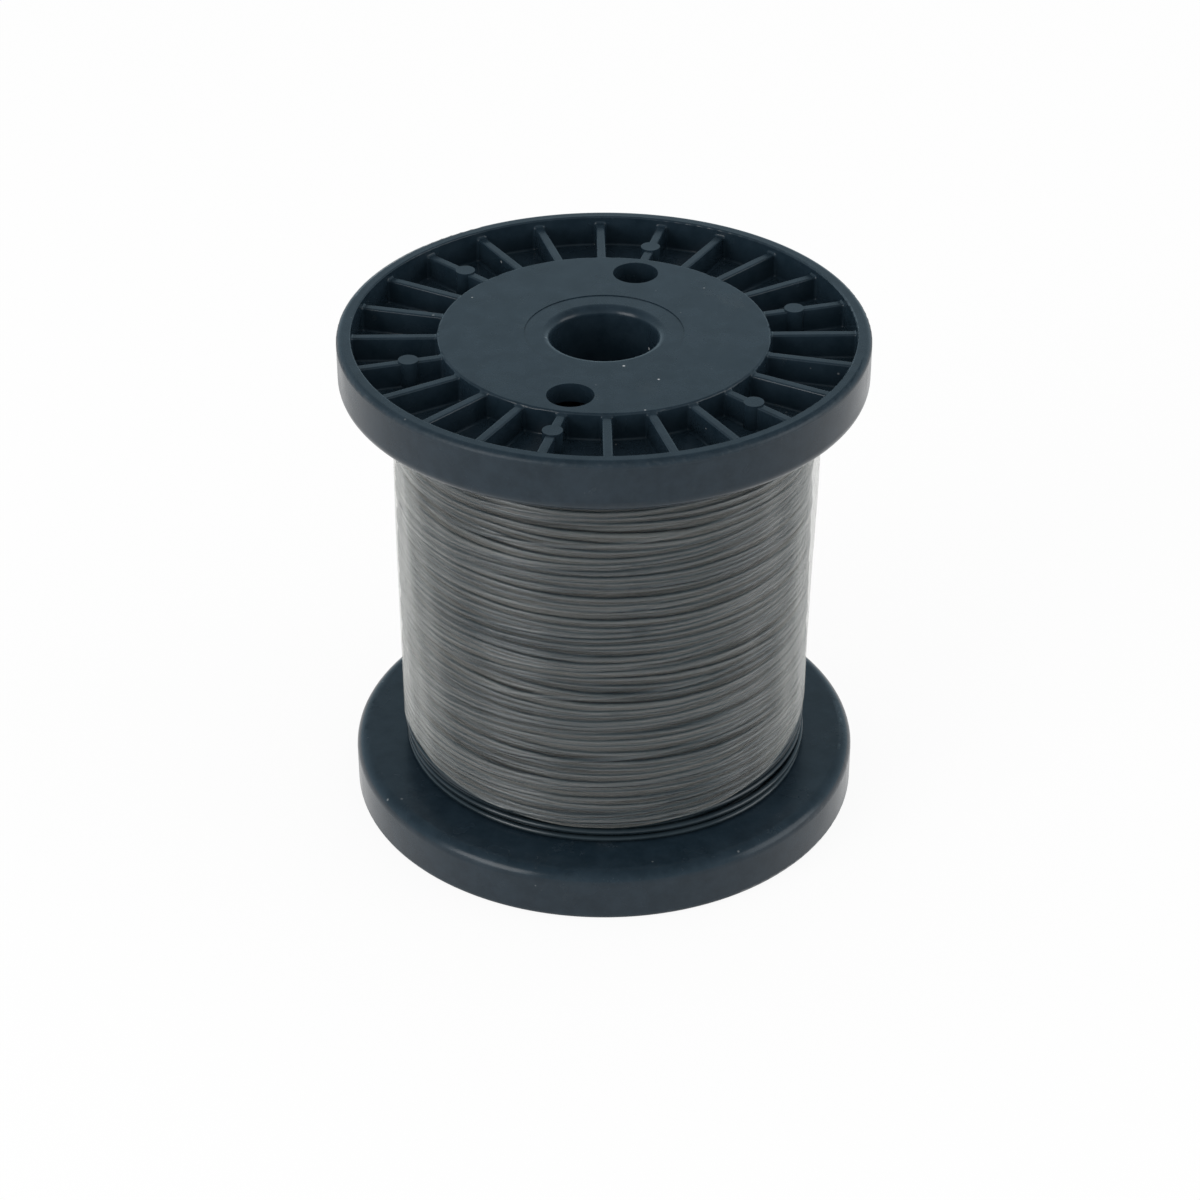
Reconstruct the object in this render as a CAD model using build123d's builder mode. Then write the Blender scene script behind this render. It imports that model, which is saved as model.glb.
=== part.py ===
"""Filament spool: two ribbed flanges on a barrel with a centre bore, wound full and wrapped in film.

The spool stands on its lower flange. The origin is the middle of its foot, +Z is its axis, and the
drive holes lie on the Y axis. Everything is in millimetres.
"""

import os

from build123d import *

os.makedirs("parts", exist_ok=True)

# Driving dimensions of the spool body
flange_radius = 40.0
spool_height = 80.8
flange_thickness = 8.5
flange_web = 3.5            # plate between the pockets and the winding space
rim_width = 2.2
outer_edge_radius = 0.9     # rounding of the rim on the outer face
inner_edge_radius = 2.0     # rounding of the rim on the winding side
rim_lip_radius = 0.25       # rounding of the rim towards the pockets

# Hub face, bore and drive holes
barrel_radius = 25.0
barrel_wall = 1.8
hub_drop = 0.7              # hub face below the rim face
hub_plate = 3.0
hub_edge_radius = 0.35
recess_radius = 12.0
recess_depth = 0.12
bore_radius = 8.0
bore_lip_radius = 1.3
drive_hole_count = 2
drive_hole_radius = 3.5
drive_circle_radius = 20.0

# Ribs and ejector bosses in the flange pockets
rib_count = 24
rib_thickness = 1.45
rib_drop = 1.15             # rib tops below the rim face
rib_edge_radius = 0.3
pocket_corner_radius = 0.4  # rounding at the pocket floors and where the ribs meet the walls
boss_count = 6
boss_radius = 1.5
boss_circle_radius = 30.0
boss_drop = 0.95            # boss tops below the rim face
boss_first_angle = 30.0

# Joints between flange, barrel and arbor tube
slip_clearance = 0.1
spigot_wall = 2.5
spigot_length = 6.0
bore_boss_wall = 4.5
socket_depth = 13.0         # from the rim face to the seat of the arbor tube
socket_length = 5.0
arbor_wall = 2.0

# Winding and film
strand_diameter = 1.0
strand_pitch = 1.05
layer_rise = 0.98           # each layer beds a little into the one below
layer_count = 7
layer_gap = 0.02
film_thickness = 0.3
film_gap = 0.05
film_bare_foot = 3.0        # turns left bare between the lower flange and the film
film_bare_head = 0.8

# Sizes that follow
rim_inner_radius = flange_radius - rim_width
pocket_depth = flange_thickness - flange_web
hub_top = hub_drop + hub_plate
recess_plane = hub_drop + recess_depth
barrel_inner_radius = barrel_radius - barrel_wall
spigot_radius = barrel_inner_radius - slip_clearance
spigot_inner_radius = spigot_radius - spigot_wall
bore_boss_radius = bore_radius + bore_boss_wall
arbor_radius = bore_radius + arbor_wall
socket_radius = arbor_radius + slip_clearance
socket_mouth = socket_depth + socket_length
arbor_length = spool_height - 2 * (socket_depth + slip_clearance)
spigot_end = flange_thickness + spigot_length
rib_start = barrel_radius - barrel_wall / 2
rib_stop = rim_inner_radius + rim_width / 2
traverse = spool_height - 2 * flange_thickness
film_foot = flange_thickness + film_bare_foot
film_width = traverse - film_bare_foot - film_bare_head
barrel_length = traverse - 2 * slip_clearance
middle = Plane.XY.offset(spool_height / 2)

# The outer layer: ridges of strand on a sleeve that reaches to the middle of each turn
winding_length = traverse - 2 * slip_clearance
winding_radius = barrel_radius + layer_gap + layer_count * layer_rise
turn_radius = winding_radius - strand_diameter / 2
turn_count = int(winding_length / strand_pitch)
outer_sleeve_start = winding_radius - layer_rise
outer_sleeve_stop = turn_radius + strand_diameter / 4


def ring_edges(part, radius, height):
    """The circular edges of a part that have this radius and lie at this height."""
    return [
        edge
        for edge in part.edges().filter_by(GeomType.CIRCLE)
        if abs(edge.radius - radius) < 0.001 and abs(edge.arc_center.Z - height) < 0.001
    ]


def pocket_edges(part):
    """The edges round each pocket's floor and up the corners where ribs meet the two walls."""
    floor = part.edges().filter_by_position(Axis.Z, pocket_depth, pocket_depth)
    corners = part.edges().filter_by(Axis.Z).filter_by_position(Axis.Z, rib_drop, pocket_depth)
    return [
        edge
        for edge in floor + corners
        if rib_start < Vector(edge.center().X, edge.center().Y).length < rib_stop
    ]


with BuildPart() as lower_flange:
    # Turned shape: rim, web, hub cup, spigot for the barrel and boss for the arbor tube
    with BuildSketch(Plane.XZ):
        with BuildLine():
            Polyline(
                (bore_radius, recess_plane),
                (recess_radius, recess_plane),
                (recess_radius, hub_drop),
                (barrel_radius, hub_drop),
                (barrel_radius, pocket_depth),
                (rim_inner_radius, pocket_depth),
                (rim_inner_radius, 0),
                (flange_radius, 0),
                (flange_radius, flange_thickness),
                (spigot_radius, flange_thickness),
                (spigot_radius, spigot_end),
                (spigot_inner_radius, spigot_end),
                (spigot_inner_radius, hub_top),
                (bore_boss_radius, hub_top),
                (bore_boss_radius, socket_mouth),
                (socket_radius, socket_mouth),
                (socket_radius, socket_depth),
                (bore_radius, socket_depth),
                close=True,
            )
        make_face()
    revolve(axis=Axis.Z)
    fillet(ring_edges(lower_flange, flange_radius, 0), outer_edge_radius)
    fillet(ring_edges(lower_flange, flange_radius, flange_thickness), inner_edge_radius)
    fillet(ring_edges(lower_flange, rim_inner_radius, 0), rim_lip_radius)
    fillet(ring_edges(lower_flange, barrel_radius, hub_drop), hub_edge_radius)
    fillet(ring_edges(lower_flange, bore_radius, recess_plane), bore_lip_radius)

    # Ribs across the pocket, sunk into the barrel wall and the rim, with rounded tops
    with BuildSketch(Plane.XY.offset(rib_drop)):
        with PolarLocations((rib_start + rib_stop) / 2, rib_count):
            Rectangle(rib_stop - rib_start, rib_thickness)
    extrude(amount=pocket_depth - rib_drop)
    rib_tops = lower_flange.edges().filter_by(GeomType.LINE).filter_by_position(
        Axis.Z, rib_drop, rib_drop
    )
    fillet(rib_tops, rib_edge_radius)
    fillet(pocket_edges(lower_flange), pocket_corner_radius)

    # Ejector bosses on every fourth rib
    with BuildSketch(Plane.XY.offset(boss_drop)):
        with PolarLocations(boss_circle_radius, boss_count, start_angle=boss_first_angle):
            Circle(boss_radius)
    extrude(amount=pocket_depth - boss_drop)

    # Drive holes through the hub plate, which also notch the spigot so that a pin can pass
    with BuildSketch(Plane.XY.offset(hub_drop)):
        with PolarLocations(drive_circle_radius, drive_hole_count, start_angle=90):
            Circle(drive_hole_radius)
    extrude(amount=spigot_end - hub_drop, mode=Mode.SUBTRACT)

with BuildPart() as upper_flange:
    # The same moulding, the other way up
    mirror(lower_flange.part, about=middle)

with BuildPart() as barrel:
    # Tube that slides over both spigots and stops short of the flanges by the slip clearance
    with BuildSketch(Plane.XY.offset(flange_thickness + slip_clearance)):
        Circle(barrel_radius)
        Circle(barrel_inner_radius, mode=Mode.SUBTRACT)
    extrude(amount=barrel_length)

with BuildPart() as arbor_tube:
    # Tube that carries the bore from socket to socket
    with BuildSketch(Plane.XY.offset(socket_depth + slip_clearance)):
        Circle(arbor_radius)
        Circle(bore_radius, mode=Mode.SUBTRACT)
    extrude(amount=arbor_length)


def winding_start(number):
    """Inner radius of a winding layer, counted from 1 on the barrel."""
    return barrel_radius + layer_gap + (number - 1) * layer_rise


# Buried layers of strand, each a closed sleeve from flange to flange
winding_layers = []
for number in range(1, layer_count):
    with BuildPart() as winding_layer:
        with BuildSketch(Plane.XY.offset(flange_thickness + slip_clearance)):
            Circle(winding_start(number + 1) - layer_gap)
            Circle(winding_start(number), mode=Mode.SUBTRACT)
        extrude(amount=winding_length)
    winding_layer.part.label = f"winding_layer_{number}"
    winding_layers.append(winding_layer.part)

with BuildPart() as outer_layer:
    # The last layer shows its turns: a sleeve with one round ridge for each turn of strand
    with BuildSketch(Plane.XZ):
        with Locations((turn_radius, spool_height / 2)):
            with GridLocations(0, strand_pitch, 1, turn_count):
                Circle(strand_diameter / 2)
        with Locations((outer_sleeve_stop, spool_height / 2)):
            Rectangle(strand_diameter, winding_length, align=(Align.MAX, Align.CENTER))
        with Locations((outer_sleeve_start, spool_height / 2)):
            Rectangle(
                strand_diameter,
                winding_length,
                align=(Align.MAX, Align.CENTER),
                mode=Mode.SUBTRACT,
            )
    revolve(axis=Axis.Z)

with BuildPart() as film_wrap:
    # Film round the winding, which leaves the turns at both ends bare
    with BuildSketch(Plane.XY.offset(film_foot)):
        Circle(winding_radius + film_gap + film_thickness)
        Circle(winding_radius + film_gap, mode=Mode.SUBTRACT)
    extrude(amount=film_width)

lower_flange.part.label = "lower_flange"
upper_flange.part.label = "upper_flange"
barrel.part.label = "barrel"
arbor_tube.part.label = "arbor_tube"
outer_layer.part.label = f"winding_layer_{layer_count}"
film_wrap.part.label = "film_wrap"

for piece in (
    lower_flange.part,
    upper_flange.part,
    barrel.part,
    arbor_tube.part,
    *winding_layers,
    outer_layer.part,
    film_wrap.part,
):
    export_step(piece, f"parts/{piece.label}.step")

print(f"winding: {turn_count} turns a layer, outside radius {winding_radius:.2f} mm")
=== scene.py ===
# %% [markdown]
# # A filament spool
#
# This lesson dresses a small black moulded spool that is wound full with thin dark filament and
# wrapped in clear film. The solid model gives every piece its size and its place. Here we give
# the pieces their looks: moulded plastic with a fine grain, turns of strand that wander and cross
# as they do on a real winding, and the hazy film that holds them.
#
# Everything is in metres. The spool stands on the ground, its axis is the Z axis, and the two
# drive holes of each flange lie on the Y axis.

# %% Load the solid model
import math

import bmesh
import bpy
import numpy as np
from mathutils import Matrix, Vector


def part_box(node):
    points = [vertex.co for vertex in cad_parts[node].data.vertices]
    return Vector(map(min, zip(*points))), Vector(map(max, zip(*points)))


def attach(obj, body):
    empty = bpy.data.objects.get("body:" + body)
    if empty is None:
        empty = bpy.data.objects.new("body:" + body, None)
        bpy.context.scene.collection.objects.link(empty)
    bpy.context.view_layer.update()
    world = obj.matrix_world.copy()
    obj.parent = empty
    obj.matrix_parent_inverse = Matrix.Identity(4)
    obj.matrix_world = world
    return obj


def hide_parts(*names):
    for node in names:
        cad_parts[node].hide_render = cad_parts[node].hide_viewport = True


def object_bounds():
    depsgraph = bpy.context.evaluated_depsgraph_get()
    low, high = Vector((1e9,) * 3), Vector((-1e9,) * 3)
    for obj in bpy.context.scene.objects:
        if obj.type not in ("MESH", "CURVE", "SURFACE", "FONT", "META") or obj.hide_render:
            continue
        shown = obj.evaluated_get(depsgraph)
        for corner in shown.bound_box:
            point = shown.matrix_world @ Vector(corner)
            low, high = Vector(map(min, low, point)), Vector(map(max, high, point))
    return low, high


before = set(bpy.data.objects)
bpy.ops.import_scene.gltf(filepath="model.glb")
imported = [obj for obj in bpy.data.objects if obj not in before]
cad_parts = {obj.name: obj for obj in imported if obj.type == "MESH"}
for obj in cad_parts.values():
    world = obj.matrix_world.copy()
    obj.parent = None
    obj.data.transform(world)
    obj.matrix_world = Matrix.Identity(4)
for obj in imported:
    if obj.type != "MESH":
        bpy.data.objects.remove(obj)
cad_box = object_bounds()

mm = 0.001
scene = bpy.context.scene
print("pieces of the solid model:", ", ".join(sorted(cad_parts)))

# %% [markdown]
# ## The sizes that the looks need
#
# The two outer layers of the winding are the ones that can be seen, so they are the ones that
# are made again in detail. The strand's thickness and pitch can't be read from a box, so they
# are given here.

# %% Sizes
flange_radius = (cad_box[1][0] - cad_box[0][0]) / 2
spool_height = cad_box[1][2] - cad_box[0][2]
layer_foot, layer_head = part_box("winding_layer_7")[0][2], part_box("winding_layer_7")[1][2]
winding_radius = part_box("winding_layer_7")[1][0]
under_layer_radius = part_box("winding_layer_6")[1][0]
film_foot, film_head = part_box("film_wrap")[0][2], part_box("film_wrap")[1][2]
strand_radius = 0.5 * mm
strand_pitch = 1.05 * mm
print(
    f"winding: radius {winding_radius / mm:.2f} mm, "
    f"{layer_foot / mm:.1f} to {layer_head / mm:.1f} mm up"
)

# %% [markdown]
# ## The camera
#
# The spool is seen from a little above through a long lens, so its two flanges look nearly
# equally wide. The camera's place is worked out from the spool's own size: its distance is a
# number of flange radii, and it looks at a point on the axis a little below the middle. A very
# small shift of the lens moves the spool to its place in the frame.

# %% Camera
view_turn = math.radians(14.1)
view_rise = math.radians(33.0)
view_distance = 11.96 * flange_radius
aim = Vector((0.0, 0.0, 0.8075 * flange_radius))
back = Vector((
    math.sin(view_turn) * math.cos(view_rise),
    -math.cos(view_turn) * math.cos(view_rise),
    math.sin(view_rise),
))
front = math.atan2(back.y, back.x)
camera_data = bpy.data.cameras.new("camera")
camera_data.sensor_width = 36.0
camera_data.lens = 90.8
camera_data.shift_x = -0.0034
camera = bpy.data.objects.new("camera", camera_data)
scene.collection.objects.link(camera)
camera.location = aim + back * view_distance
camera.rotation_euler = (-back).to_track_quat("-Z", "Y").to_euler()
scene.camera = camera
print(f"camera {camera.location.length:.3f} m from the origin")

# %% [markdown]
# ## Surfaces as arrays
#
# Every new piece here is a profile carried along a path: a round profile for a strand, and a thin
# flat one for the film. One function can make them all. It takes a grid of points, whose rows
# follow the path and whose columns go round the profile, and joins neighbours with quads. The
# profile closes on itself, and the two ends get a lid, so the surface has no open border.
#
# The UV map follows the piece wherever it winds, and so does a pattern that reads it. The faces
# have to point outwards, and the volume inside tells: it comes out negative when they don't.

# %% A swept surface
def swept_surface(name, points, along, across):
    """A closed skin over a grid of points.

    points has the shape (rows, columns, 3). Quad (i, j) joins the points (i, j), (i + 1, j),
    (i + 1, j + 1) and (i, j + 1), and the column after the last one is the first column. The
    first row and the last row turned round are the lids. u is the value of `along` in each row,
    and v is the value of `across`, whose shape is (rows, columns + 1).
    """
    rows, columns = points.shape[:2]
    row = np.arange(rows - 1)[:, None]
    column = np.arange(columns)[None, :]
    following = (column + 1) % columns
    corners = [(row, column), (row + 1, column), (row + 1, following), (row, following)]
    quads = np.stack([i * columns + j for i, j in corners], axis=-1).reshape(-1, 4)
    lids = [list(range(columns)), list(range((rows - 1) * columns, rows * columns))[::-1]]
    mesh = bpy.data.meshes.new(name)
    mesh.from_pydata(points.reshape(-1, 3).tolist(), [], quads.tolist() + lids)

    u = np.stack([along[i] + 0 * j for i, j in corners], axis=-1)
    steps = ((0, 0), (1, 0), (1, 1), (0, 1))
    v = np.stack([across[row + i, column + j] for i, j in steps], axis=-1)
    uv = np.stack([u, v], axis=-1).reshape(-1, 2)
    uv = np.concatenate([uv, np.zeros((2 * columns, 2))])
    mesh.uv_layers.new(name="along").data.foreach_set("uv", uv.ravel())
    mesh.polygons.foreach_set("use_smooth", np.ones(len(mesh.polygons), dtype=bool))
    mesh.update()
    piece = bpy.data.objects.new(name, mesh)
    scene.collection.objects.link(piece)

    skin = bmesh.new()
    skin.from_mesh(mesh)
    volume = skin.calc_volume(signed=True)
    skin.free()
    print(f"{name}: {len(quads) * 2:,} triangles round {volume / mm ** 3:,.0f} cubic mm")
    return piece


def ring_points(angle, radius, height):
    """Points at a distance `radius` from the Z axis, at `angle` round it and at `height`."""
    return np.stack([radius * np.cos(angle), radius * np.sin(angle), height], axis=-1)


def strand(name, angle, radius, height, sides=10):
    """A round strand whose middle line runs round the axis in turns.

    At each step the profile is a circle in the plane that holds the axis. A point of it lies at
    the middle line plus the strand's radius times cos(w) outwards and sin(w) upwards, where w
    goes once round the profile. For a strand that runs the other way round the axis, w goes the
    other way too, which keeps the faces outwards.
    """
    w = np.linspace(0, 2 * np.pi, sides, endpoint=False)[None, :]
    points = ring_points(
        angle[:, None] + 0 * w,
        radius[:, None] + strand_radius * np.cos(w),
        height[:, None] + strand_radius * np.sin(w),
    )
    if angle[-1] < angle[0]:
        points = points[:, ::-1]
    steps = np.linalg.norm(np.diff(ring_points(angle, radius, height), axis=0), axis=1)
    along = np.concatenate([[0.0], np.cumsum(steps)])
    turns = abs(angle[-1] - angle[0]) / (2 * np.pi)
    print(f"{name}: {along[-1]:.2f} m of strand in {turns:.1f} turns")
    share = np.arange(sides + 1)[None, :] / sides
    return swept_surface(name, points, along, share + 0 * angle[:, None])


# %% [markdown]
# ## The winding
#
# A winding machine lays the strand in layers, and each layer runs back over the one below the
# other way. The turns are nearly level, but they aren't even: the guide shakes, the strand is
# stiff, and a turn slides into a gap or rides up on its neighbour. That unevenness is what makes
# a winding look real.
#
# A texture of stripes would look printed on, because nothing would cross. So the two layers that
# show are real strands. The wander is a sum of waves over the whole length of the strand. A wave
# that fits almost a whole number of times into one turn comes back nearly in step a turn later,
# so neighbours run side by side and drift apart slowly, which is how gaps open and close.

# %% Wander
rings_per_turn = 96
flange_hold = 2 * mm
tuck_angle = 0.35
dice = np.random.default_rng(7)
print(f"a turn has {rings_per_turn} rings and climbs {strand_pitch / mm:.2f} mm")


def wander(angle, waves, reach):
    """A sum of cosines of the angle: (waves per turn, share) pairs with random phases.

    Each wave has its own share of `reach`, which is the most that the sum can be.
    """
    total = sum(share for _, share in waves)
    phases = dice.uniform(0, 2 * np.pi, len(waves))
    return sum(
        reach * share / total * np.cos(rate * angle + phase)
        for (rate, share), phase in zip(waves, phases)
    )


def layer_line(turns, foot, head, reach, waves, direction=1):
    """Angle and height of a strand that climbs evenly from foot to head, and wanders.

    The first and the last half turn lie level against a flange. The wander dies away near both
    ends by the smooth step 1 - exp(-(distance / flange_hold) ** 2), as the flanges hold the strand.
    """
    angle = np.linspace(0, 2 * np.pi * turns, int(turns * rings_per_turn) + 1)
    share = np.clip((angle - np.pi) / (angle[-1] - 2 * np.pi), 0, 1)
    height = foot + (head - foot) * share
    nearest_end = np.minimum(height - foot, head - height)
    freedom = 1 - np.exp(-(nearest_end / flange_hold) ** 2)
    height = height + wander(angle, waves, reach) * freedom
    return front + np.pi + direction * angle, height


def tucked(angle):
    """How far a strand dips at its two ends, where it is tucked in under its neighbours.

    It is one strand's thickness times exp(-(angle from the nearest end / tuck_angle) ** 2).
    """
    nearest_end = np.minimum(np.abs(angle - angle[0]), np.abs(angle[-1] - angle))
    return 2 * strand_radius * np.exp(-((nearest_end / tuck_angle) ** 2))


# %% [markdown]
# ### The layer below
#
# This layer only shows through the gaps of the one above, so it is laid tightly, hardly wanders
# and has a plainer profile of eight sides.

# %% The layer below
under_turns = int((layer_head - layer_foot) / strand_pitch) - 1
under_angle, under_height = layer_line(
    under_turns, layer_foot + strand_radius, layer_head - strand_radius,
    0.12 * mm, [(1.04, 1.0), (2.07, 0.6), (3.11, 0.4)],
)
under_layer = strand(
    "winding_under_layer", under_angle,
    np.full_like(under_angle, under_layer_radius - strand_radius), under_height, sides=8,
)

# %% [markdown]
# ### The top layer
#
# The top layer is laid a little less tightly, so some gaps show the layer below. Where a turn
# comes closer to the one before it than a strand's thickness, it rides up, by half the strand's
# radius at most. At the foot the first turns are loose on one side, and lean out over the face of
# the flange. The strand's two ends don't stop in the open: they dip in under the turns beside
# them.

# %% The top layer
top_turns = 57
full_crowding = 0.3
most_ride = 0.5 * strand_radius
most_lean = 1.0 * mm
loose_angle = front + math.radians(45)
top_angle, top_height = layer_line(
    top_turns, layer_foot + strand_radius, layer_head - strand_radius,
    1.25 * mm, [(1.08, 1.0), (0.31, 0.4), (2.12, 0.5), (3.17, 0.3), (5.21, 0.1)],
    direction=-1,
)
spacing = np.abs(top_height[rings_per_turn:] - top_height[:-rings_per_turn])
spacing = np.concatenate([np.full(rings_per_turn, spacing.mean()), spacing])
crowding = np.clip(1 - spacing / (2 * strand_radius), 0, full_crowding)
top_radius = winding_radius - strand_radius + most_ride * crowding / full_crowding
top_radius = top_radius + wander(top_angle, [(2.1, 1.0), (5.3, 0.7), (9.2, 0.4)], 0.06 * mm)
turns_from_foot = (top_height - layer_foot) / strand_pitch
loose_side = np.angle(np.exp(1j * (top_angle - loose_angle)))
lean = most_lean * np.exp(-((loose_side / 0.6) ** 2) - (turns_from_foot / 1.8) ** 2)
print(f"spacing of the top turns: {spacing.min() / mm:.2f} to {spacing.max() / mm:.2f} mm")
top_layer = strand(
    "winding_top_layer", top_angle, top_radius + lean - tucked(top_angle), top_height,
)

# %% [markdown]
# ### The crossing turns
#
# Some turns cross over the rest at a steeper climb, where the guide ran back quickly. They show
# as lines that cut through the others at a very small angle. They are a strand of their own, which
# lies only a little further out than the top layer, so it is pressed in among its turns.

# %% The crossing turns
cross_turns = 16
cross_angle, cross_height = layer_line(
    cross_turns, layer_foot + 8 * strand_radius, layer_head - 5 * strand_radius,
    1.2 * mm, [(1.3, 1.0), (2.4, 0.5)],
)
cross_radius = winding_radius - 0.55 * strand_radius
cross_radius = cross_radius + wander(cross_angle, [(3.1, 1.0)], 0.05 * mm)
crossing_turns = strand(
    "winding_crossing_turns", cross_angle, cross_radius - tucked(cross_angle), cross_height,
)

# %% [markdown]
# ## The film
#
# Clear film goes once round the winding and a little over its own start, and leaves the lowest
# turns bare. It is pulled tight, so a cloth simulation would have nothing to drape: its shape is
# that of the winding, with a few soft creases, and it stands off where it isn't held.
#
# The profile is a thin upright rectangle: up the outside and down the inside. It is carried once
# round the axis and then over its own start. Its lower edge isn't level, because the film was
# wound on at a slant, and one corner has crept up.
#
# The film clings to the turns, so its relief follows them. Its haze follows them too, and is paler
# over each crest as a painted highlight along every turn. For each point of the film we count the
# turns of the top layer that lie below it, and that number becomes v in the UV map: whole numbers
# are crests, and halves are grooves. Where turns are crowded the film bridges them, so two turns
# count as at least `least_gap` apart.

# %% Turns below a point
least_gap = 0.3 * mm


def turns_below(angle, height):
    """The number of turns of the top layer below a point, with the share of the next one.

    It is the sum over all turns n of (height - h[n]) / (h[n + 1] - h[n]), clipped to 0 and 1,
    where h[n] is the height of turn n at the angle of the point. One is taken off each time that
    the angle passes the strand's start, where turn n meets turn n + 1, so the number never jumps.
    """
    turned = (front + np.pi - angle[:, 0]) / (2 * np.pi)
    ring = (np.arange(top_turns)[:, None] + turned % 1) * rings_per_turn
    turn_height = np.interp(ring, np.arange(len(top_height)), top_height)
    turn_height = np.maximum.accumulate(turn_height, axis=0).T[:, None, :]
    gap = np.maximum(np.diff(turn_height, axis=2), least_gap)
    counted = np.clip((height[:, :, None] - turn_height[:, :, :-1]) / gap, 0, 1).sum(axis=2)
    return counted - np.floor(turned)[:, None]


# %% The film's path and lower edge
film_thickness = 0.06 * mm
overlap = math.radians(24)
film_start = math.radians(28)
film_columns, film_rows = 410, 116
film_angle = np.linspace(film_start, film_start + 2 * np.pi + overlap, film_columns)[:, None]
upwards = np.linspace(0, 1, film_rows)
rise = np.concatenate([upwards, upwards[::-1]])[None, :]
outside = np.concatenate([np.ones(film_rows), np.zeros(film_rows)])[None, :]

slant, creep = 3.0 * mm, 2.2 * mm
crept_corner = front + math.radians(82)
from_corner = np.angle(np.exp(1j * (film_angle - crept_corner)))
lower_edge = film_foot + 0.2 * mm + slant * np.sin(film_angle - front) ** 2
lower_edge = lower_edge + creep * np.exp(-((from_corner / 0.33) ** 2))
film_height = lower_edge + (film_head - lower_edge) * rise
print(f"the film's lower edge is {lower_edge.min() / mm:.1f} to {lower_edge.max() / mm:.1f} mm up")

# %% [markdown]
# Creases are a sum of three fine waves round the axis, each of which also leans a little on its
# way up. On one side the film stands off in a bulge that grows towards the top, and where it
# passes its own start it steps out over the lap below.

# %% The film sheet
film_stand_off = 0.3 * mm
bulge_angle = math.radians(8)
creases = 0.05 * mm * (
    np.cos(9 * film_angle + 2.0 * rise) + np.cos(17 * film_angle - 5.0 * rise + 1.0)
    + 0.6 * np.cos(31 * film_angle + 9.0 * rise + 2.0)
)
from_bulge = np.angle(np.exp(1j * (film_angle - bulge_angle)))
bulge = 0.9 * mm * np.exp(-((from_bulge / 0.3) ** 2)) * rise ** 2 * (3 - 2 * rise)
second_lap = 2 * film_thickness / (1 + np.exp(-(film_angle - film_start - 2 * np.pi) / 0.03))
film_radius = winding_radius + film_stand_off + creases + bulge + second_lap
film_radius = film_radius + film_thickness * outside
turn_number = turns_below(film_angle, film_height)
film = swept_surface(
    "film_sheet", ring_points(film_angle + 0 * rise, film_radius, film_height),
    film_angle[:, 0] * winding_radius, np.concatenate([turn_number, turn_number[:, :1]], axis=1),
)

# %% [markdown]
# ## Materials
#
# Small helpers keep the node code short: one adds a node, sets its choices and joins or sets its
# sockets, and others add one common kind of node. Patterns on the moulded pieces read Object
# coordinates, which on a piece at the origin are plain places in metres, so a noise of scale 4000
# is a grain of a quarter of a millimetre.

# %% Node helpers
def new_material(name):
    """An empty node material and its main shader."""
    material = bpy.data.materials.new(name)
    material.use_nodes = True
    return material, material.node_tree, material.node_tree.nodes["Principled BSDF"]


def add_node(tree, kind, choices=None, **sockets):
    """Add a node of a kind, set its choices, and set or link the named sockets."""
    node = tree.nodes.new("ShaderNode" + kind)
    for key, value in (choices or {}).items():
        setattr(node, key, value)
    for key, value in sockets.items():
        connect(tree, value, node.inputs[key.replace("_", " ")])
    return node


def connect(tree, value, socket):
    """Link an output to a socket, or set the socket to a plain value."""
    if isinstance(value, bpy.types.NodeSocket):
        tree.links.new(value, socket)
    else:
        socket.default_value = value


def noise(tree, place, scale, detail=2.0, roughness=0.5):
    """The grey value of a noise texture at a place."""
    return add_node(
        tree, "TexNoise", Vector=place, Scale=scale, Detail=detail, Roughness=roughness
    ).outputs["Fac"]


def mapped(tree, value, low, high, to_low, to_high):
    """A value mapped from one range to another, and clamped."""
    node = add_node(tree, "MapRange", Value=value)
    ends = {"From Min": low, "From Max": high, "To Min": to_low, "To Max": to_high}
    for key, number in ends.items():
        node.inputs[key].default_value = number
    return node.outputs["Result"]


def blended(tree, share, first, second):
    """A colour between two colours."""
    node = add_node(tree, "Mix", {"data_type": "RGBA"})
    connect(tree, share, node.inputs[0])
    connect(tree, first, node.inputs[6])
    connect(tree, second, node.inputs[7])
    return node.outputs[2]


def calculated(tree, operation, first, second):
    """The result of a calculation with two numbers."""
    node = add_node(tree, "Math", {"operation": operation})
    connect(tree, first, node.inputs[0])
    connect(tree, second, node.inputs[1])
    return node.outputs[0]


# %% [markdown]
# ### Moulded plastic
#
# The flanges are moulded in a dark blue-grey plastic with a soft gloss. Up close the colour is
# faintly mottled, the surface has a fine grain, and there are scuffs from handling and pale specks
# of dust, most of them at the top, where dust settles. The outer edge is what rubs against a box
# or a shelf, so it is duller and has small pale nicks: they only show where a point is far from
# the axis and far from the middle of the spool as well. The gloss comes from the shader, and its
# roughness varies a little, which breaks up the highlights on the edges.

# %% Dust and the worn lip
half_height = spool_height / 2
lip_width, lip_depth = 0.7 * mm, 1.2 * mm


def dust_specks(tree, place, height):
    """Where dust lies: a speck in the middle of a cell, and more of it towards the top.

    A speck reaches less than a tenth of a cell, and only cells with a high random value have one.
    """
    cells = add_node(tree, "TexVoronoi", Vector=place, Scale=330)
    near = mapped(tree, cells.outputs["Distance"], 0.085, 0.045, 0, 1)
    paleness = mapped(tree, cells.outputs["Color"], 0.60, 0.85, 0, 1)
    speck = calculated(tree, "MULTIPLY", near, calculated(tree, "POWER", paleness, 2.0))
    settled = mapped(tree, height, half_height, spool_height, 0.35, 1)
    return calculated(tree, "MULTIPLY", speck, settled)


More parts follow.
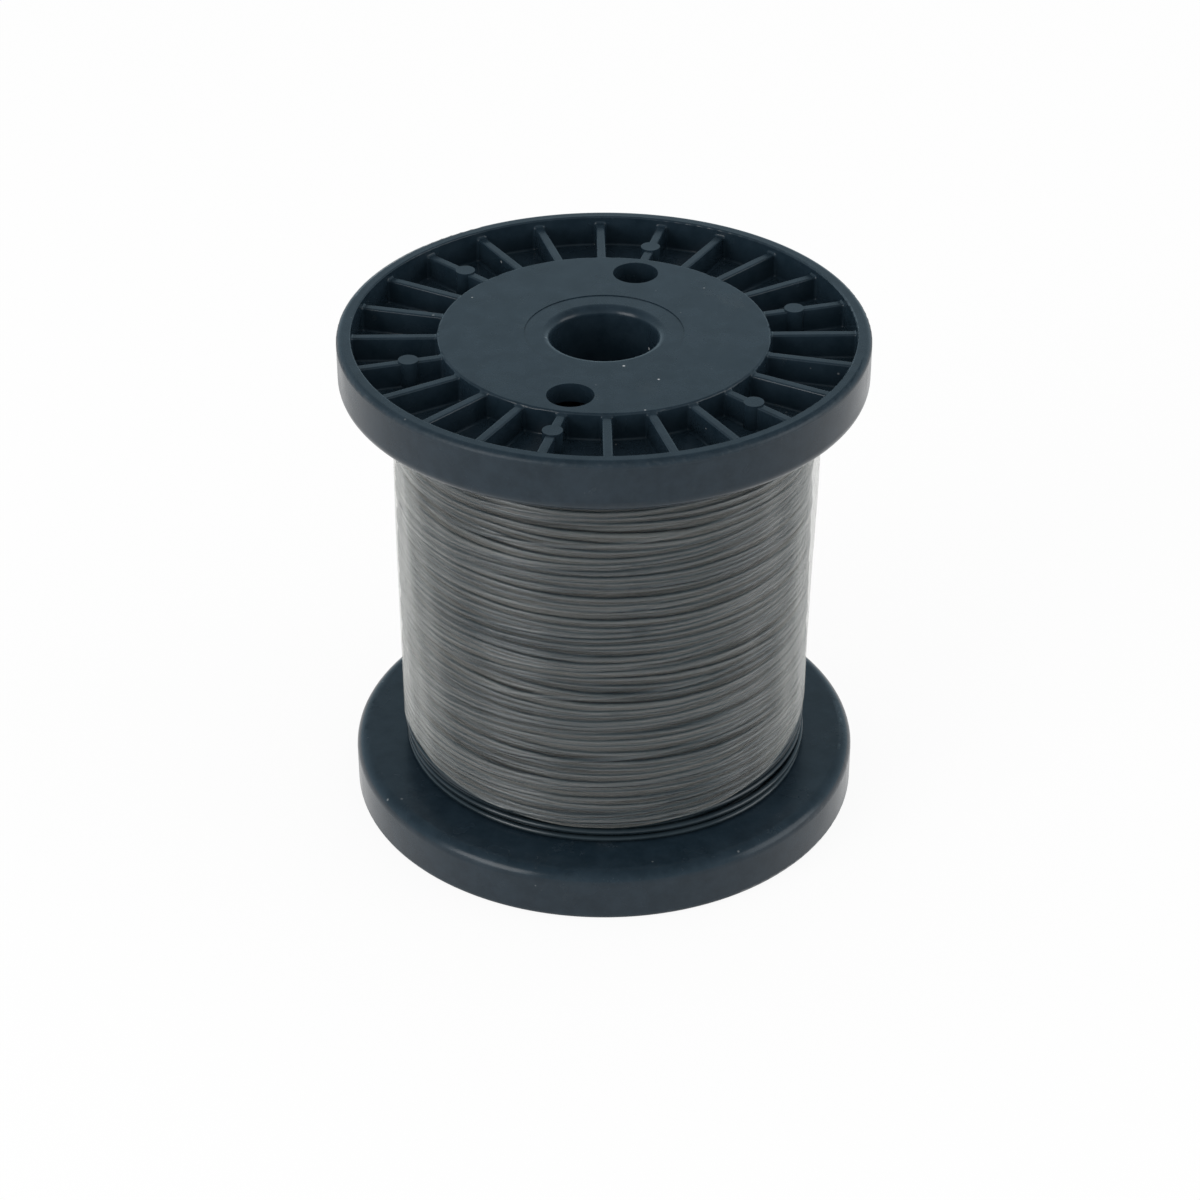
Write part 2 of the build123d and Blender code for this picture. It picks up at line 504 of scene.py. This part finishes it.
def outer_lip(tree, spot):
    """1 on the outer edge of a flange: far from the axis times far from the middle.

    Each of the two grows from 0 to 1 across the lip, and stops growing just short of its corner.
    """
    flat = add_node(tree, "CombineXYZ", X=spot.outputs["X"], Y=spot.outputs["Y"])
    measured = add_node(tree, "VectorMath", {"operation": "LENGTH"}, Vector=flat.outputs[0])
    from_axis = measured.outputs["Value"]
    far_out = mapped(tree, from_axis, flange_radius - lip_width, flange_radius - 0.1 * mm, 0, 1)
    from_middle = calculated(tree, "SUBTRACT", spot.outputs["Z"], half_height)
    from_middle = calculated(tree, "ABSOLUTE", from_middle, 0.0)
    far_up = mapped(tree, from_middle, half_height - lip_depth, half_height - 0.5 * mm, 0, 1)
    return calculated(tree, "MULTIPLY", far_out, far_up)


# %% Moulded plastic
plastic_dark, plastic_light = (0.0092, 0.0186, 0.0275, 1), (0.0148, 0.0268, 0.0382, 1)
dust_colour = (0.50, 0.52, 0.53, 1)
nick_colour = (0.075, 0.085, 0.09, 1)
scuff_colour = (0.045, 0.056, 0.062, 1)


def moulded_plastic():
    """Dark plastic: mottled colour, dust, worn edges, scuffs, uneven gloss and a fine grain."""
    material, tree, shader = new_material("dark_moulded_plastic")
    place = add_node(tree, "TexCoord").outputs["Object"]
    spot = add_node(tree, "SeparateXYZ", Vector=place)
    mottle = mapped(tree, noise(tree, place, 320, 4, 0.65), 0.35, 0.65, 0, 1)
    colour = blended(tree, mottle, plastic_dark, plastic_light)
    dust = dust_specks(tree, place, spot.outputs["Z"])
    colour = blended(tree, dust, colour, dust_colour)

    lip = outer_lip(tree, spot)
    nicks = mapped(tree, noise(tree, place, 1500, 3, 0.7), 0.50, 0.68, 0, 1)
    worn = calculated(tree, "MULTIPLY", calculated(tree, "MULTIPLY", lip, nicks), 0.2)
    colour = blended(tree, worn, colour, nick_colour)
    scuff = mapped(tree, noise(tree, place, 90, 6, 0.75), 0.60, 0.78, 0, 0.35)
    colour = blended(tree, scuff, colour, scuff_colour)
    connect(tree, colour, shader.inputs["Base Color"])

    roughness = mapped(tree, noise(tree, place, 140, 3, 0.6), 0.3, 0.7, 0.19, 0.30)
    roughness = calculated(tree, "ADD", roughness, calculated(tree, "MULTIPLY", scuff, 0.4))
    roughness = calculated(tree, "ADD", roughness, calculated(tree, "MULTIPLY", lip, 0.22))
    connect(tree, roughness, shader.inputs["Roughness"])
    shader.inputs["Specular IOR Level"].default_value = 0.27

    grain = noise(tree, place, 3600, 2, 0.6)
    bump = add_node(tree, "Bump", Height=grain, Strength=0.08, Distance=0.03 * mm)
    connect(tree, bump.outputs["Normal"], shader.inputs["Normal"])
    return material


plastic = moulded_plastic()
print(f"{plastic.name}: {len(plastic.node_tree.nodes)} nodes")

# %% [markdown]
# ### Strand
#
# The strand is drawn through a die, so it has fine lines along it and a gloss that is stretched
# the same way. Reading the strand's own UV map lets the lines follow every turn.

# %% Strand
strand_dark, strand_light = (0.008, 0.015, 0.020, 1), (0.015, 0.024, 0.030, 1)


def drawn_strand():
    """Near-black strand with lines along it and small changes of colour on the way."""
    material, tree, shader = new_material("dark_drawn_strand")
    place = add_node(tree, "TexCoord")
    slow = noise(tree, place.outputs["Object"], 110, 3, 0.6)
    colour = blended(tree, mapped(tree, slow, 0.3, 0.7, 0, 1), strand_dark, strand_light)
    connect(tree, colour, shader.inputs["Base Color"])

    lengthwise = add_node(tree, "Mapping", Vector=place.outputs["UV"])
    lengthwise.inputs["Scale"].default_value = (60, 5, 1)
    lines = noise(tree, lengthwise.outputs["Vector"], 4, 4, 0.7)
    connect(tree, mapped(tree, lines, 0.3, 0.7, 0.14, 0.30), shader.inputs["Roughness"])
    shader.inputs["Specular IOR Level"].default_value = 0.42
    bump = add_node(tree, "Bump", Height=lines, Strength=0.25, Distance=0.04 * mm)
    connect(tree, bump.outputs["Normal"], shader.inputs["Normal"])
    return material


strand_finish = drawn_strand()
print(f"{strand_finish.name}: {len(strand_finish.node_tree.nodes)} nodes")

# %% [markdown]
# ### Clear film
#
# Film is nearly invisible where one looks straight through it, and turns pale and hazy where one
# looks along it, at both sides of the spool. Layer Weight measures that, and drives how opaque
# the film is. The haze itself follows the turns: v counts them, so a noise that changes quickly
# with v and slowly with u makes long pale bands where the film bridges from turn to turn. The
# cosine of v gives each turn its soft ridge in the bump. It also makes the film paler over each
# crest and clear over every groove, and that paleness is a painted highlight along each turn.

# %% Clear film
def clear_film():
    """Pale film, more opaque at edges; haze, relief and a painted highlight follow the turns."""
    material, tree, shader = new_material("clear_hazy_film")
    place = add_node(tree, "TexCoord").outputs["UV"]
    along_turns = add_node(tree, "Mapping", Vector=place)
    along_turns.inputs["Scale"].default_value = (24, 0.45, 1)
    bands = noise(tree, along_turns.outputs["Vector"], 1, 3, 0.6)

    turn_number = add_node(tree, "SeparateXYZ", Vector=place).outputs["Y"]
    ridge = calculated(tree, "COSINE", calculated(tree, "MULTIPLY", turn_number, math.pi), 0.0)
    ridge = calculated(tree, "ABSOLUTE", ridge, 0.0)

    film_haze_and_highlight = mapped(tree, bands, 0.35, 0.7, 0.020, 0.060)
    # The haze is paler over each crest and clear over each groove: a painted highlight along each
    # turn.
    film_haze_and_highlight = calculated(tree, "MULTIPLY", film_haze_and_highlight, mapped(tree, ridge, 0.1, 0.7, 0.15, 1.2))
    edge = add_node(tree, "LayerWeight", Blend=0.5).outputs["Facing"]
    edge = calculated(tree, "MULTIPLY", calculated(tree, "POWER", edge, 4.0), 0.52)
    edge = calculated(tree, "MINIMUM", edge, 0.21)
    connect(tree, calculated(tree, "ADD", film_haze_and_highlight, edge), shader.inputs["Alpha"])
    shader.inputs["Base Color"].default_value = (0.79, 0.80, 0.76, 1)
    connect(tree, mapped(tree, bands, 0.3, 0.7, 0.14, 0.3), shader.inputs["Roughness"])
    bump = add_node(tree, "Bump", Height=ridge, Strength=0.5, Distance=0.1 * mm)
    connect(tree, bump.outputs["Normal"], shader.inputs["Normal"])
    return material


film_finish = clear_film()
print(f"{film_finish.name}: {len(film_finish.node_tree.nodes)} nodes")

# %% [markdown]
# ## Putting the finishes on
#
# Each solid piece gets its finish, also where it is hidden, so that it looks right when the spool
# is taken apart.

# %% Finishes and places
def finish_with(piece, material):
    """Make a material the only one of a piece."""
    piece.data.materials.clear()
    piece.data.materials.append(material)


for name in ("lower_flange", "upper_flange", "barrel", "arbor_tube"):
    finish_with(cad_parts[name], plastic)
for name in sorted(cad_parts):
    if name.startswith("winding_layer_"):
        finish_with(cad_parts[name], strand_finish)
finish_with(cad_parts["film_wrap"], film_finish)

for piece in (under_layer, top_layer, crossing_turns):
    finish_with(piece, strand_finish)
    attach(piece, "root")
finish_with(film, film_finish)
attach(film, "root")
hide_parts("winding_layer_6")
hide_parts("winding_layer_7")
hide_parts("film_wrap")
new_pieces = (under_layer, top_layer, crossing_turns, film)
print("new pieces:", ", ".join(piece.name for piece in new_pieces))

# %% [markdown]
# ## The floor
#
# The spool stands on a plain white floor. The floor's own shading is mixed with plain white where
# the camera or a reflection sees it, so it stays white and keeps a soft shadow. More light would
# make it white as well, but then the dark plastic would look pale.

# %% Floor
floor_half = 1.6
floor_level = -0.05 * mm
floor_corners = [
    (x * floor_half, y * floor_half, floor_level) for x, y in ((-1, -1), (1, -1), (1, 1), (-1, 1))
]
floor_mesh = bpy.data.meshes.new("floor")
floor_mesh.from_pydata(floor_corners, [], [(0, 1, 2, 3)])
floor = bpy.data.objects.new("floor", floor_mesh)
scene.collection.objects.link(floor)


def seen_directly(tree):
    """1 where a ray comes from the camera, a reflection or a clear surface, and 0 elsewhere."""
    path = add_node(tree, "LightPath")
    seen = calculated(tree, "MAXIMUM", path.outputs["Is Camera Ray"], path.outputs["Is Glossy Ray"])
    return calculated(tree, "MAXIMUM", seen, path.outputs["Is Transmission Ray"])


def white_floor():
    """Matt white, mixed with plain white where it is seen directly."""
    material, tree, shader = new_material("white_floor")
    tree.nodes.remove(shader)
    matt = add_node(tree, "BsdfDiffuse", Color=(0.60, 0.60, 0.60, 1))
    plain = add_node(tree, "Emission", Color=(1, 1, 1, 1), Strength=1.06)
    mixed = add_node(tree, "MixShader")
    connect(tree, calculated(tree, "MULTIPLY", seen_directly(tree), 0.86), mixed.inputs[0])
    connect(tree, matt.outputs[0], mixed.inputs[1])
    connect(tree, plain.outputs[0], mixed.inputs[2])
    connect(tree, mixed.outputs[0], tree.nodes["Material Output"].inputs["Surface"])
    return material


finish_with(floor, white_floor())
print(f"a white floor of {2 * floor_half:.1f} m square")

# %% [markdown]
# ## Sky and lamps
#
# An even white sky gives the soft light of a small studio. In reflections it is a little cool and
# gets darker overhead, as in a room with daylight. Two low square lamps stand for windows and add
# the thin highlights on the rounded edges: a strong one to the left, and a larger and weaker one
# to the right.

# %% Sky
scene.view_settings.view_transform = "Standard"
world = bpy.data.worlds.new("studio")
scene.world = world
world.use_nodes = True


def sky_light(tree, sky):
    """White for the camera, an even light, and a cool sky that dims overhead in reflections."""
    up = add_node(tree, "SeparateXYZ", Vector=add_node(tree, "TexCoord").outputs["Generated"])
    ceiling = mapped(tree, up.outputs["Z"], 0.1, 0.95, 0.85, 0.22)
    path = add_node(tree, "LightPath")
    in_reflection = calculated(tree, "MULTIPLY", ceiling, path.outputs["Is Glossy Ray"])
    plain = calculated(
        tree, "MAXIMUM", path.outputs["Is Camera Ray"], path.outputs["Is Transmission Ray"]
    )
    seen = calculated(tree, "MAXIMUM", plain, in_reflection)
    unseen = calculated(tree, "SUBTRACT", 1.0, seen_directly(tree))
    brightness = calculated(tree, "ADD", seen, calculated(tree, "MULTIPLY", unseen, 0.8))
    white, cool = (1, 1, 1, 1), (0.76, 1.00, 1.14, 1)
    colour = blended(tree, path.outputs["Is Glossy Ray"], white, cool)
    connect(tree, colour, sky.inputs["Color"])
    connect(tree, brightness, sky.inputs["Strength"])


sky_light(world.node_tree, world.node_tree.nodes["Background"])
print(f"{world.name}: {len(world.node_tree.nodes)} nodes")


# %% Lamps
def soft_lamp(name, place, size, power):
    """A square lamp at a place, turned towards the middle of the spool."""
    data = bpy.data.lights.new(name, "AREA")
    data.size = size
    data.energy = power
    lamp = bpy.data.objects.new(name, data)
    scene.collection.objects.link(lamp)
    lamp.location = place
    towards = Vector((0, 0, spool_height / 2)) - Vector(place)
    lamp.rotation_euler = towards.to_track_quat("-Z", "Y").to_euler()
    print(f"{name}: {size:.2f} m wide, {power:.1f} W")


def around(side, up, distance):
    """A place seen from the spool: degrees to the right of the camera, degrees up, metres away."""
    side, up = front + math.radians(side), math.radians(up)
    return distance * Vector((
        math.cos(side) * math.cos(up), math.sin(side) * math.cos(up), math.sin(up),
    ))


soft_lamp("window_left", around(-49, 20, 0.9), 0.48, 3.5)
soft_lamp("window_right", around(80, 14, 0.9), 0.60, 2.4)
